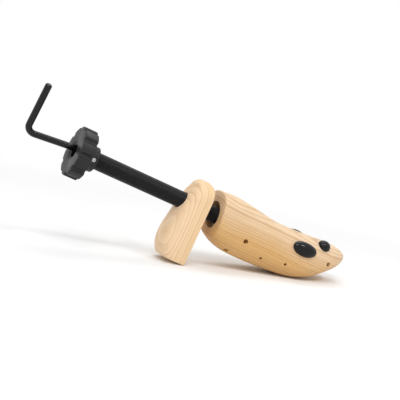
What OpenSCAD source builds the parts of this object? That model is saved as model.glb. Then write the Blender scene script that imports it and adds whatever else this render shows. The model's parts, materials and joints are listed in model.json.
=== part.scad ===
// Two-way shoe stretcher for high-heeled shoes, standing on its heel block and the ball of its last.
// Everything is laid out along the screw line: x runs towards the toe, z away from the sole, and
// x = 0 is where the slanted back face of the last crosses the line. stand() then tips the whole
// assembly so that the heel block and the ball of the last both touch z = 0.

/* [Wooden last] */
// Length of the last from its back face to the tip of the toe
last_l = 174; // [160:1:200]
// Width of the last at its back end
back_w = 50; // [46:1:56]
// Width of the last at the waist
waist_w = 53; // [48:1:60]
// Width of the last at the ball
ball_w = 67; // [60:1:80]
// Height of the top over the screw line at the back
back_top = 27; // [25:0.5:32]
// Height of the instep over the screw line at its lowest
instep_top = 21.5; // [19:0.5:26]
// Height of the toe cap over the screw line
toe_top = 25; // [22:0.5:30]
// Height of the toe tip over the screw line
toe_tip = 16; // [12:0.5:20]
// Depth of the sole under the screw line at the waist
waist_depth = 33; // [30:0.5:38]
// Depth of the sole under the screw line at the ball
ball_depth = 29.5; // [26:0.5:34]
// Lean of the back face, lower end forwards
back_lean = 6.5; // [0:0.5:10]
// Saw cut between the two halves of the last
saw_cut = 0.3; // [0.2:0.05:0.6]

/* [Heel block] */
// Gap between heel block and last on the screw line
heel_gap = 15; // [11:0.5:30]
// Thickness of the heel block on the screw line
heel_t = 26.5; // [22:0.5:34]
// Thickness of the heel block where its back bulges most
heel_bulge_t = 32.5; // [28:0.5:40]
// Thickness of the heel block near its top
heel_top_t = 20; // [18:0.5:24]
// Thickness of the heel block at its foot
heel_foot_t = 24.5; // [18:0.5:28]
// Width of the heel block
heel_w = 42; // [40:1:50]
// Height of the heel block over the screw line
heel_top = 29; // [26:0.5:34]
// Depth of the heel block under the screw line
heel_depth = 62; // [54:1:70]

/* [Threaded tube and knob] */
// Outside diameter of the threaded tube
tube_d = 18; // [17:0.5:20]
// Bore of the threaded tube
tube_bore = 14; // [13.6:0.1:14.2]
// Length of tube that shows between heel block and knob
tube_show = 105; // [80:1:130]
// Diameter of the knob
knob_d = 53; // [46:1:60]
// Thickness of the knob
knob_t = 15; // [12:0.5:18]
// Diameter of the knob's hub
hub_d = 26.6; // [25:0.2:30]
// Length of the knob's hub
hub_l = 9.4; // [8:0.2:14]
// Number of finger grooves round the knob
knob_grooves = 10; // [6:1:12]

/* [Crank] */
// Diameter of the crank rod
rod_d = 6.8; // [6:0.1:7]
// Length of rod behind the knob, to the middle of the arm
rod_show = 51; // [45:1:70]
// Length of the crank arm from the rod's middle to its tip
arm_l = 57; // [45:1:70]
// Bend radius at the elbow, on the rod's middle line
elbow_r = 9; // [8:0.5:12]
// Turn of the arm from upright towards the right side
arm_turn = 29; // [0:1:60]
// Slope that the free end of the rod has taken
rod_slope = 5.4; // [3:0.2:6]
// How far off the tube's middle the rod leaves the knob
rod_lift = 2.8; // [2:0.1:2.8]

/* [Spreader] */
// How far the wedge travels
wedge_travel = 26; // [20:1:30]
// How far each half of the last moves out
half_spread = 6; // [4:0.5:7]
// Length of the wedge
wedge_l = 26; // [22:1:28]
// Width of the wedge at its thin front end
wedge_nose_w = 14; // [12:0.5:16]
// Thickness of the ramp plates
ramp_t = 3; // [2:0.25:3.5]
// Half height of the wedge
wedge_h = 10.3; // [8:0.1:11]
// Thickness of the cage's rails
rail_t = 3; // [2:0.25:3.5]
// Width of the cage's rails
rail_w = 10; // [8:0.5:12]
// Diameter of the guide pins
pin_d = 5; // [4:0.25:5.5]

/* [Bunion plugs] */
// Diameter of a plug's peg
peg_d = 5; // [4:0.25:6]
// Length of a plug's peg
peg_l = 8; // [6:0.5:9]
// Height of a plug's dome
dome_h = 6; // [4:0.5:9]

/* [Clearances] */
// Radial play of shafts, pins and pegs that turn or slide
running = 0.05; // [0.02:0.01:0.09]
// Gap between flat faces that slide past each other
slide_gap = 0.2; // [0.1:0.05:0.3]
// Gap round parts that lie in a pocket of the wood
pocket_gap = 0.3; // [0.2:0.05:0.5]

/* [Hidden] */
eps = 0.01;
$fn = 64;

// Steps along the last and round each half of it
body_rings = 22;
toe_rings = 8;
half_steps = 16;

// Lengths of the toe cap over which the width and the height close up
toe_cap_w = 34;
toe_cap_h = 20;
cap_power = 2.2;
toe_flat = 0.05;
// Rounding of the back edge of the last
back_edge = 2;
// Where the last is widest
ball_x = last_l - 58;
// Where the waist is narrowest
waist_x = 38;

// Bore in the back of the last, and the bearing collar inside it
back_bore_r = 15;
bore_entry = 20;
collar_r = 13.5;
collar_x = 8;
collar_wall_x = 33;
collar_wall_t = 7;
bush_r = 11.5;
bush_l = 16;
tube_end_x = collar_wall_x - 2;
washer_t = 1.8;
circlip_t = 1.5;
circlip_x = collar_x + bush_l + 0.1;

// Cage from the collar wall to the front bridge
bridge_l = 8;
bridge_x = collar_wall_x + collar_wall_t;
bridge_w = 16;
rail_z = wedge_h + slide_gap;
cage_h = rail_z + rail_t;
wedge_x = bridge_x + bridge_l + 6;
clip_t = 1.6;
nose_room = 4;
front_x = wedge_x + wedge_travel + wedge_l + clip_t + nose_room;
front_l = 6;
nut_r = 5;
neck_r = 2.5;

// Ramps: each half moves out by half_spread while the wedge goes forward by wedge_travel
ramp_slope = half_spread / wedge_travel;
ramp_angle = atan(ramp_slope);
wedge_tail_w = wedge_nose_w + 2 * ramp_slope * wedge_l;
ramp_x0 = wedge_x - 2;
ramp_x1 = wedge_x + wedge_l + wedge_travel + 2;
function ramp_y(x) = wedge_tail_w / 2 - ramp_slope * (x - wedge_x) + running / cos(ramp_angle);
function ramp_back_y(x) = ramp_y(x) + ramp_t / cos(ramp_angle);
ramp_screw_r = 1.5;
ramp_screw_l = 9.5;
ramp_screw_xs = [ramp_x0 + 8, ramp_x1 - 9];

// Guide pins: a pair in the rear bridge, one in the front bridge
rear_pin_x = bridge_x + bridge_l / 2;
rear_pin_z = 9;
rear_pin_reach = 20;
front_pin_x = front_x + front_l / 2;
front_pin_reach = 22;
pin_end_room = 0.5;

// Return springs across the saw cut, each between a screw in either half
// [x, z, half length, outer radius, turns]
rear_spring = [20, back_top - 6.3, 7, 2.3, 10];
front_spring = [front_x + front_l + 12, 0, 12, 3, 15];
springs = [rear_spring, front_spring];
hook_head_t = 1.6;
hook_l = 5;
hook_r = 1.2;
wire_r = 0.4;
coil_steps = 8;
wire_sides = 6;

// Heel block and its flanged nut
heel_front_x = -heel_gap;
heel_crown_r = 9;
heel_edge = 1.5;
heel_bore_r = tube_d / 2 + 0.4;
nut_flange_r = 17;
nut_flange_t = 3;
nut_barrel_r = 12.5;
nut_barrel_l = 15;
nut_screws = 3;
nut_screw_ring = 14.8;
nut_screw_r = 1.2;
nut_screw_l = 12;

// Tube, knob and crank behind the heel block
hub_x = heel_front_x - heel_t - tube_show;
knob_x = hub_x - hub_l;
knob_back_x = knob_x - knob_t;
tube_tail_x = knob_back_x + 2;
knob_edge = 1.6;
groove_r = 3;
groove_out = 0.4;
grub_r = 2;
grub_x = hub_x - hub_l / 2;
// The rod's front length ends just inside the knob, where its cranked rear length is set on it
set_in = 4;
set_left = 0.5;
rod_outer = rod_show - elbow_r + set_in / cos(rod_slope);

// Smooth curve through [x, value] points, with slopes from the neighbours
function slope_at(p, i) = i == 0 ? (p[1][1] - p[0][1]) / (p[1][0] - p[0][0])
    : i == len(p) - 1 ? (p[i][1] - p[i - 1][1]) / (p[i][0] - p[i - 1][0])
    : (p[i + 1][1] - p[i - 1][1]) / (p[i + 1][0] - p[i - 1][0]);
function piece(p, x, i = 0) = i >= len(p) - 2 || x <= p[i + 1][0] ? i : piece(p, x, i + 1);
function hermite(a, b, ma, mb, h, t) = (2 * t * t * t - 3 * t * t + 1) * a
    + (t * t * t - 2 * t * t + t) * h * ma + (3 * t * t - 2 * t * t * t) * b
    + (t * t * t - t * t) * h * mb;
function curve(p, x) = let (i = piece(p, x), h = p[i + 1][0] - p[i][0])
    hermite(p[i][1], p[i + 1][1], slope_at(p, i), slope_at(p, i + 1), h, (x - p[i][0]) / h);

// Outlines of the last along its length
top_line = [[0, back_top], [20, back_top + 1], [44, back_top - 1.6], [72, instep_top + 0.3],
    [94, instep_top + 0.2], [last_l - 50, (instep_top + toe_top) / 2], [last_l - 26, toe_top],
    [last_l, toe_top - 1]];
sole_line = [[0, -back_w * 0.46], [10, -waist_depth + 4.5], [24, -waist_depth + 0.8],
    [waist_x, -waist_depth], [62, -waist_depth], [ball_x - 24, -ball_depth - 2.2],
    [ball_x - 6, -ball_depth], [last_l - 42, -ball_depth + 8.5], [last_l - 22, -6], [last_l, 10]];
side_line = [[0, back_w / 2], [14, back_w / 2 + 0.4], [waist_x, waist_w / 2 - 0.8],
    [62, waist_w / 2 + 1], [ball_x - 24, ball_w / 2 - 2.6], [ball_x, ball_w / 2],
    [last_l - 34, ball_w / 2 - 1.8], [last_l, ball_w / 2 - 8]];
// Height of the widest line of the section
wide_line = [[0, 2], [waist_x, 0], [ball_x - 20, -5], [ball_x, -4], [last_l - 20, 7], [last_l, toe_tip]];

function cap(x, l) = x < last_l - l ? 1
    : pow(max(0, 1 - pow((x - last_l + l) / l, cap_power)), 1 / cap_power);
function edge(x) = x < back_edge ? back_edge - sqrt(max(0, pow(back_edge, 2) - pow(back_edge - x, 2))) : 0;
function half_w(x) = curve(side_line, x) * cap(x, toe_cap_w) - edge(x);
function top_z(x) = toe_tip + (curve(top_line, x) - toe_tip) * cap(x, toe_cap_h) - edge(x);
function sole_z(x) = toe_tip + (curve(sole_line, x) - toe_tip) * cap(x, toe_cap_h) + edge(x);
function wide_z(x) = toe_tip + (curve(wide_line, x) - toe_tip) * cap(x, toe_cap_h);

// Squareness of the section: the sole side is flatter than the top
top_power = 2 / 2.6;
sole_power = 2 / 3;
function bow(v, p) = sign(v) * pow(abs(v), p);
// The lean of the back face dies out over this length
lean_l = 70;
function lean(x) = tan(back_lean) * max(0, 1 - x / lean_l);
// A point on the left side of the last: a is -90 on the sole's middle and 90 on the top's middle
function skin(x, a) = let (p = a > 0 ? top_power : sole_power, s = bow(sin(a), p),
    z = wide_z(x) + s * (a > 0 ? top_z(x) - wide_z(x) : wide_z(x) - sole_z(x)))
    [x - lean(x) * z, max(saw_cut / 2, half_w(x) * bow(cos(a), p)), z];

last_xs = concat([0, 0.3, 0.9, back_edge],
    [for (i = [1:body_rings]) back_edge + (last_l - toe_cap_w - back_edge) * pow(i / body_rings, 1.15)],
    [for (i = [1:toe_rings]) last_l - toe_cap_w + (toe_cap_w - toe_flat) * sin(90 * i / toe_rings)]);
half_rings = [for (x = last_xs) [for (i = [0:half_steps]) skin(x, -90 + 180 * i / half_steps)]];

// Closed skin round a list of rings that all have the same number of points
module skin_rings(rings) {
    n = len(rings[0]);
    m = len(rings);
    points = [for (ring = rings) each ring];
    sides = [for (r = [0:m - 2]) for (i = [0:n - 1]) let (j = (i + 1) % n, a = r * n, b = a + n)
        each [[a + i, b + j, a + j], [a + i, b + i, b + j]]];
    first = [for (i = [0:n - 1]) i];
    last = [for (i = [n - 1:-1:0]) (m - 1) * n + i];
    polyhedron(points = points, faces = concat(sides, [first], [last]));
}

// Place on the skin of the left half at a length and a height, turned so that z points out of the
// wood and x runs along the last
function skin_angle(x, z) = let (up = z > wide_z(x), p = up ? top_power : sole_power,
    h = up ? top_z(x) - wide_z(x) : wide_z(x) - sole_z(x))
    (up ? 1 : -1) * asin(min(1, pow(abs(z - wide_z(x)) / h, 1 / p)));
function unit(v) = v / norm(v);
function skin_out(x, a) = unit(cross(skin(x, a + 0.5) - skin(x, a - 0.5),
    skin(x + 0.5, a) - skin(x - 0.5, a)));
module on_skin(x, z) {
    a = skin_angle(x, z);
    p = skin(x, a);
    n = skin_out(x, a);
    b = acos(n.z);
    c = atan2(n.y, n.x);
    t = unit([1, 0, 0] - n.x * n);
    u = [cos(b) * cos(c), cos(b) * sin(c), -sin(b)];
    v = [-sin(c), cos(c), 0];
    translate(p) rotate([0, b, c]) rotate([0, 0, atan2(t * v, t * u)]) children();
}

// Spare holes in each half of the last: [length, height, radius, depth]
spare_r = peg_d / 2 + 0.25;
small_hole_r = 1.6;
holes_right = [[37, -12, spare_r, 8], [23, -29.5, spare_r, 6], [63, -22, small_hole_r, 8],
    [92, -17, small_hole_r, 8], [last_l - 31, 2.5, spare_r, 8]];
holes_left = [[37, -20, spare_r, 8], [57, -8.5, small_hole_r, 8], [90, -25, small_hole_r, 8],
    [last_l - 64, -20, spare_r, 8], [last_l - 24, 9, spare_r, 8]];
// Plugs: [length, height, dome length, dome width]
plug_long = [last_l - 68, 7, 30, 17];
plug_round = [last_l - 42, 19, 15, 15];
plug_upper = [last_l - 52, 17.5, 25, 13.5];
plug_lower = [last_l - 44, -1, 24, 13.5];
dome_lift = 0.3;
peg_room = 0.5;

// How the assembly stands: the foot's front edge and the ball of the last touch the ground
foot = [heel_front_x, -heel_depth];
foot_mid = foot - [heel_foot_t / 2, 0];
stand_tilt = atan(min([for (ring = half_rings) for (p = ring) if (p.x > bore_entry)
    (p.z - foot.y) / (p.x - foot.x)]));
module stand() {
    rotate([0, stand_tilt, 0]) translate([-foot_mid.x, 0, -foot_mid.y]) children();
}
module side(right) {
    if (right) mirror([0, 1, 0]) children();
    else children();
}
// A cylinder along the screw line
module line_rod(x0, x1, r) {
    translate([x0, 0, 0]) rotate([0, 90, 0]) cylinder(h = x1 - x0, r = r);
}
// A cylinder across the screw line
module cross_rod(x, z, y0, y1, r) {
    translate([x, y0, z]) rotate([-90, 0, 0]) cylinder(h = y1 - y0, r = r);
}
module box(x0, x1, y0, y1, z0, z1) {
    translate([x0, y0, z0]) cube([x1 - x0, y1 - y0, z1 - z0]);
}

module plug_hole(p) {
    on_skin(p[0], p[1]) translate([0, 0, -peg_l - peg_room]) cylinder(h = peg_l + 5, r = peg_d / 2 + running);
}
module at_ramp(x) {
    translate([x, ramp_y(x), 0]) rotate([-90, 0, -ramp_angle]) children();
}
module ramp_screw(play) {
    cylinder(h = ramp_screw_r, r1 = 2 * ramp_screw_r + play, r2 = ramp_screw_r + play);
    cylinder(h = ramp_screw_l, r = ramp_screw_r + play);
}
module last_half(plugs, holes) {
    difference() {
        skin_rings(half_rings);
        line_rod(-bore_entry, bridge_x + pocket_gap, back_bore_r);
        box(bridge_x - eps, bridge_x + bridge_l + pocket_gap, -1, bridge_w / 2 + pocket_gap,
            -cage_h - pocket_gap, cage_h + pocket_gap);
        box(bridge_x, front_x + front_l + pocket_gap, -1, rail_w / 2 + pocket_gap,
            -cage_h - pocket_gap, cage_h + pocket_gap);
        translate([0, 0, -wedge_h - pocket_gap]) linear_extrude(2 * (wedge_h + pocket_gap))
            polygon([[ramp_x0 - running, -1], [ramp_x0 - running, ramp_back_y(ramp_x0) + running],
                [ramp_x1 + running, ramp_back_y(ramp_x1) + running], [ramp_x1 + running, -1]]);
        for (z = [-rear_pin_z, rear_pin_z])
            cross_rod(rear_pin_x, z, -1, rear_pin_reach + pin_end_room, pin_d / 2 + running);
        cross_rod(front_pin_x, 0, -1, front_pin_reach + pin_end_room, pin_d / 2 + running);
        for (s = springs) {
            cross_rod(s[0], s[1], -1, s[2] + pocket_gap + hook_head_t, s[3] + pocket_gap);
            cross_rod(s[0], s[1], 0, s[2] + pocket_gap + hook_head_t + hook_l + running, hook_r + running);
        }
        for (x = ramp_screw_xs) at_ramp(x) ramp_screw(running);
        for (h = holes)
            on_skin(h[0], h[1]) translate([0, 0, -h[3]]) cylinder(h = h[3] + 5, r = h[2]);
        for (p = plugs) plug_hole(p);
    }
}
module last_half_right() {
    color("burlywood") stand() side(true) last_half([plug_long, plug_round], holes_right);
}
module last_half_left() {
    color("burlywood") stand() side(false) last_half([plug_upper, plug_lower], holes_left);
}

module spreader_cage() {
    color("gray") stand() difference() {
        union() {
            line_rod(collar_x, bridge_x + eps, collar_r);
            box(bridge_x, bridge_x + bridge_l, -bridge_w / 2, bridge_w / 2, -cage_h, cage_h);
            for (z = [-cage_h, rail_z])
                box(bridge_x, front_x + front_l, -rail_w / 2, rail_w / 2, z, z + rail_t);
            box(front_x, front_x + front_l, -rail_w / 2, rail_w / 2, -cage_h, cage_h);
        }
        line_rod(collar_x - 1, collar_wall_x, bush_r);
        line_rod(collar_wall_x - 1, bridge_x + bridge_l + 1, nut_r);
        for (z = [-rear_pin_z, rear_pin_z]) cross_rod(rear_pin_x, z, -bridge_w, bridge_w, pin_d / 2);
        cross_rod(front_pin_x, 0, -bridge_w, bridge_w, pin_d / 2);
    }
}
module collar_bush() {
    color("ivory") stand() difference() {
        line_rod(collar_x, collar_x + bush_l, bush_r);
        line_rod(collar_x - 1, collar_x + bush_l + 1, tube_d / 2 + running);
    }
}
module thrust_washer() {
    color("khaki") stand() difference() {
        line_rod(tube_end_x + 0.1, tube_end_x + 0.1 + washer_t, bush_r - 0.3);
        line_rod(tube_end_x, collar_wall_x + 1, rod_d / 2 + 0.4);
    }
}
module rod_nut() {
    color("goldenrod") stand() difference() {
        line_rod(collar_wall_x, bridge_x + bridge_l, nut_r);
        line_rod(collar_wall_x - 1, bridge_x + bridge_l + 1, rod_d / 2 + running);
    }
}
module rear_guide_pins() {
    color("silver") stand() for (z = [-rear_pin_z, rear_pin_z])
        cross_rod(rear_pin_x, z, -rear_pin_reach, rear_pin_reach, pin_d / 2);
}
module front_guide_pin() {
    color("silver") stand() cross_rod(front_pin_x, 0, -front_pin_reach, front_pin_reach, pin_d / 2);
}
// A coil along y: the middle of its wire at step i, and the rings of points round the wire
function coil_r(s) = s[3] - wire_r;
function coil_l(s) = 2 * (s[2] - wire_r);
function coil_point(s, i) = let (t = 360 * i / coil_steps)
    [s[0] + coil_r(s) * cos(t), coil_l(s) * (i / coil_steps / s[4] - 0.5), s[1] + coil_r(s) * sin(t)];
function coil_ring(s, i) = let (t = 360 * i / coil_steps, out = [cos(t), 0, sin(t)],
    along = unit([-coil_r(s) * sin(t) * 2 * PI, coil_l(s) / s[4], coil_r(s) * cos(t) * 2 * PI]),
    up = cross(along, out))
    [for (k = [0:wire_sides - 1]) let (b = 360 * k / wire_sides)
        coil_point(s, i) + wire_r * (cos(b) * out + sin(b) * up)];
function coil_gap(s) = min([for (i = [0:coil_steps - 1]) for (j = [coil_steps / 2:coil_steps * 2])
    norm(coil_point(s, i + j) - coil_point(s, i))]) - 2 * wire_r;
for (s = springs) echo(least_gap_between_turns = coil_gap(s));
module coil(s) {
    skin_rings([for (i = [0:coil_steps * s[4]]) coil_ring(s, i)]);
}
module rear_return_spring() {
    color("silver") stand() coil(rear_spring);
}
module front_return_spring() {
    color("silver") stand() coil(front_spring);
}
module spring_hooks() {
    for (s = springs) {
        y = s[2] + pocket_gap;
        cross_rod(s[0], s[1], y, y + hook_head_t, s[3]);
        cross_rod(s[0], s[1], y, y + hook_head_t + hook_l, hook_r);
    }
}
module spring_hooks_right() {
    color("silver") stand() side(true) spring_hooks();
}
module spring_hooks_left() {
    color("silver") stand() side(false) spring_hooks();
}

module ramp_plate() {
    difference() {
        translate([0, 0, -wedge_h]) linear_extrude(2 * wedge_h)
            polygon([[ramp_x0, ramp_y(ramp_x0)], [ramp_x1, ramp_y(ramp_x1)],
                [ramp_x1, ramp_back_y(ramp_x1)], [ramp_x0, ramp_back_y(ramp_x0)]]);
        for (x = ramp_screw_xs) at_ramp(x) translate([0, 0, -eps]) ramp_screw(running);
    }
}
module ramp_screws() {
    for (x = ramp_screw_xs) at_ramp(x) ramp_screw(0);
}
module ramp_plate_right() {
    color("lightgray") stand() side(true) ramp_plate();
}
module ramp_plate_left() {
    color("lightgray") stand() side(false) ramp_plate();
}
module ramp_screws_right() {
    color("silver") stand() side(true) ramp_screws();
}
module ramp_screws_left() {
    color("silver") stand() side(false) ramp_screws();
}
module spreader_wedge() {
    color("darkgray") stand() difference() {
        translate([0, 0, -wedge_h]) linear_extrude(2 * wedge_h)
            polygon([[wedge_x, -wedge_tail_w / 2], [wedge_x + wedge_l, -wedge_nose_w / 2],
                [wedge_x + wedge_l, wedge_nose_w / 2], [wedge_x, wedge_tail_w / 2]]);
        line_rod(wedge_x - 1, wedge_x + wedge_l + 1, neck_r + running);
    }
}

module threaded_tube() {
    color("#222222") stand() difference() {
        line_rod(tube_tail_x, tube_end_x, tube_d / 2);
        line_rod(tube_tail_x - 1, tube_end_x + 1, tube_bore / 2);
        translate([circlip_x, 0, 0]) rotate([0, 90, 0]) difference() {
            cylinder(h = circlip_t, r = tube_d);
            translate([0, 0, -1]) cylinder(h = circlip_t + 2, r = tube_d / 2 - 0.8);
        }
    }
}
module tube_circlip() {
    color("silver") stand() difference() {
        line_rod(circlip_x + 0.05, circlip_x + circlip_t - 0.05, bush_r - 0.4);
        line_rod(circlip_x - 1, circlip_x + circlip_t + 1, tube_d / 2 - 0.75);
        box(circlip_x - 1, circlip_x + circlip_t + 1, -1.5, 1.5, -bush_r - 1, 0);
    }
}
module star_knob() {
    color("#3a3a3c") stand() difference() {
        rotate([0, 90, 0]) rotate_extrude() polygon([[0, knob_back_x + 1], [9, knob_back_x + 1],
            [10, knob_back_x], [knob_d / 2 - knob_edge, knob_back_x], [knob_d / 2, knob_back_x + knob_edge],
            [knob_d / 2, knob_x - knob_edge], [knob_d / 2 - knob_edge, knob_x], [hub_d / 2 + 0.8, knob_x],
            [hub_d / 2, knob_x + 0.8], [hub_d / 2, hub_x - 0.8], [hub_d / 2 - 0.8, hub_x], [0, hub_x]]);
        line_rod(tube_tail_x, hub_x + 1, tube_d / 2 + 0.01);
        line_rod(knob_back_x - 1, hub_x, tube_bore / 2);
        for (i = [0:knob_grooves - 1]) rotate([360 * (i + 0.5) / knob_grooves, 0, 0])
            translate([0, 0, knob_d / 2 + groove_out]) line_rod(knob_back_x - 1, knob_x + 1, groove_r);
        for (z = [1, -1]) translate([grub_x, 0, 0]) rotate([90 * z, 0, 0])
            cylinder(h = hub_d, r = grub_r + 0.02);
    }
}
module knob_grub_screws() {
    color("silver") stand() for (z = [1, -1]) translate([grub_x, 0, 0]) rotate([90 * z, 0, 0])
        difference() {
            translate([0, 0, tube_d / 2 + 0.02]) cylinder(h = hub_d / 2 - tube_d / 2 - 0.5, r = grub_r);
            translate([0, 0, hub_d / 2 - 2]) cylinder(h = 2, r = 1.1, $fn = 6);
        }
}
// The cranked length is drawn piece by piece; each piece carries the next one on its end
module straight(l) {
    line_rod(-l, 0, rod_d / 2);
    translate([-l, 0, 0]) children();
}
module elbow() {
    translate([0, 0, elbow_r]) rotate([90, 0, 0]) rotate([0, 0, 180])
        rotate_extrude(angle = 90) translate([elbow_r, 0]) circle(r = rod_d / 2);
    translate([-elbow_r, 0, elbow_r]) rotate([0, 90, 0]) children();
}
module crank_rod() {
    color("#1c1c1e") stand() {
        line_rod(wedge_x - 1, wedge_x + wedge_l + clip_t + 1, neck_r);
        line_rod(knob_back_x + set_left, wedge_x - 0.1, rod_d / 2);
        translate([knob_back_x + set_in, 0, rod_lift + set_in * tan(rod_slope)])
            rotate([0, -rod_slope, 0]) rotate([arm_turn, 0, 0])
            straight(rod_outer) elbow() straight(arm_l - elbow_r);
    }
}
module rod_clip() {
    color("silver") stand() difference() {
        line_rod(wedge_x + wedge_l + 0.1, wedge_x + wedge_l + 0.1 + clip_t, 4.4);
        line_rod(wedge_x, wedge_x + wedge_l + 5, neck_r + 0.01);
    }
}

// Heel block: a stack of level sections, flat in front and round behind
heel_back_line = [[-heel_depth, heel_foot_t], [-heel_depth + 5, heel_foot_t + 3.4],
    [-heel_depth + 13, heel_bulge_t - 1], [-heel_depth + 26, heel_bulge_t],
    [-heel_depth * 0.3, (heel_t + heel_bulge_t) / 2 + 0.4], [0, heel_t],
    [heel_top - heel_crown_r, heel_top_t]];
heel_shoulder_z = heel_top - heel_w / 2;
function crown(z) = z < heel_top - heel_crown_r ? 0
    : heel_crown_r - sqrt(max(0, pow(heel_crown_r, 2) - pow(z - heel_top + heel_crown_r, 2)));
function heel_half_w(z) = z < heel_shoulder_z ? heel_w / 2
    : sqrt(max(0.01, pow(heel_w / 2, 2) - pow(z - heel_shoulder_z, 2)));
function heel_depth_at(z) = curve(heel_back_line, min(z, heel_top - heel_crown_r)) - crown(z);
heel_power = 2 / 2.8;
heel_flank = 0.35;
function heel_ring(z) = let (w = heel_half_w(z), d = heel_depth_at(z), f = crown(z),
    e = min(heel_edge, w / 3), s = f + e + (d - f - e) * heel_flank)
    concat([[heel_front_x - f, -w + e, z], [heel_front_x - f, w - e, z],
        [heel_front_x - f - 0.45 * e, w - 0.3 * e, z], [heel_front_x - f - e, w, z]],
        [for (i = [0:14]) let (a = 180 * i / 14) [heel_front_x - s - (d - s) * bow(sin(a), heel_power),
            w * bow(cos(a), heel_power), z]],
        [[heel_front_x - f - e, -w, z], [heel_front_x - f - 0.45 * e, -w + 0.3 * e, z]]);
heel_zs = concat(
    [for (i = [0:14]) -heel_depth + (heel_depth + heel_shoulder_z) * i / 14],
    [for (i = [1:9]) heel_shoulder_z + (heel_top - 0.25 - heel_shoulder_z) * sin(90 * i / 9)]);
module nut_screw_places() {
    for (i = [0:nut_screws - 1]) rotate([360 * (i + 0.5) / nut_screws, 0, 0])
        translate([0, 0, nut_screw_ring]) children();
}
module nut_screw(play) {
    line_rod(heel_front_x - nut_screw_l, heel_front_x - 0.05, nut_screw_r + play);
    translate([heel_front_x - 0.05, 0, 0]) rotate([0, -90, 0])
        cylinder(h = nut_screw_r, r1 = 1.9 * nut_screw_r + play, r2 = nut_screw_r + play);
}
module heel_block() {
    color("burlywood") stand() difference() {
        skin_rings([for (z = heel_zs) heel_ring(z)]);
        line_rod(heel_front_x - heel_bulge_t - 5, heel_front_x + 1, heel_bore_r);
        line_rod(heel_front_x - nut_flange_t - running, heel_front_x + 1, nut_flange_r + running);
        line_rod(heel_front_x - nut_barrel_l - running, heel_front_x + 1, nut_barrel_r + running);
        nut_screw_places() nut_screw(running);
    }
}
module heel_nut() {
    color("gray") stand() difference() {
        union() {
            line_rod(heel_front_x - nut_flange_t, heel_front_x, nut_flange_r);
            line_rod(heel_front_x - nut_barrel_l, heel_front_x, nut_barrel_r);
        }
        line_rod(heel_front_x - nut_barrel_l - 1, heel_front_x + 1, tube_d / 2 + running);
        nut_screw_places() translate([eps, 0, 0]) nut_screw(running);
    }
}
module heel_nut_screws() {
    color("silver") stand() nut_screw_places() nut_screw(0);
}

// A plug: a dome whose underside follows the skin of the last, on a round peg. Its rings run from
// the middle of the underside out to the rim and then up over the dome: [share of the width, rise]
dome_steps = 24;
dome_rise = concat([[0.02, 0], [0.5, 0], [0.96, 0]],
    [for (e = [3, 18, 36, 54, 70, 83, 89]) [pow(cos(e), 0.9), pow(sin(e), 0.85)]]);
// Angle on the skin at a length x where the way from p along b comes to v
function across(x, p, b, v, low, high, n = 18) = let (m = (low + high) / 2) n == 0 ? m
    : (skin(x, m) - p) * b > v ? across(x, p, b, v, low, m, n - 1) : across(x, p, b, v, m, high, n - 1);
module plug(p) {
    a = skin_angle(p[0], p[1]);
    up = unit(skin(p[0], a + 0.5) - skin(p[0], a - 0.5));
    out = skin_out(p[0], a);
    skin_rings([for (d = dome_rise) [for (i = [0:dome_steps - 1]) let (t = 360 * i / dome_steps,
        x = p[0] + d[0] * p[2] / 2 * cos(t), v = -d[0] * p[3] / 2 * sin(t))
        skin(x, across(x, skin(p[0], a), up, v, max(-89, a - 75), min(90, a + 75)))
            + (dome_lift + dome_h * d[1]) * out]]);
    on_skin(p[0], p[1]) translate([0, 0, -peg_l]) cylinder(h = peg_l + dome_lift + 1, r = peg_d / 2);
}
module plug_long_right() {
    color("#111111") stand() side(true) plug(plug_long);
}
module plug_round_right() {
    color("#111111") stand() side(true) plug(plug_round);
}
module plug_upper_left() {
    color("#111111") stand() side(false) plug(plug_upper);
}
module plug_lower_left() {
    color("#111111") stand() side(false) plug(plug_lower);
}

last_half_right();
last_half_left();
spreader_cage();
collar_bush();
thrust_washer();
rod_nut();
rear_guide_pins();
front_guide_pin();
rear_return_spring();
front_return_spring();
spring_hooks_right();
spring_hooks_left();
ramp_plate_right();
ramp_plate_left();
ramp_screws_right();
ramp_screws_left();
spreader_wedge();
threaded_tube();
tube_circlip();
star_knob();
knob_grub_screws();
crank_rod();
rod_clip();
heel_block();
heel_nut();
heel_nut_screws();
plug_long_right();
plug_round_right();
plug_upper_left();
plug_lower_left();
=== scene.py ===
import json
import math

import bpy
import numpy as np
from mathutils import Matrix, Vector


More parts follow.
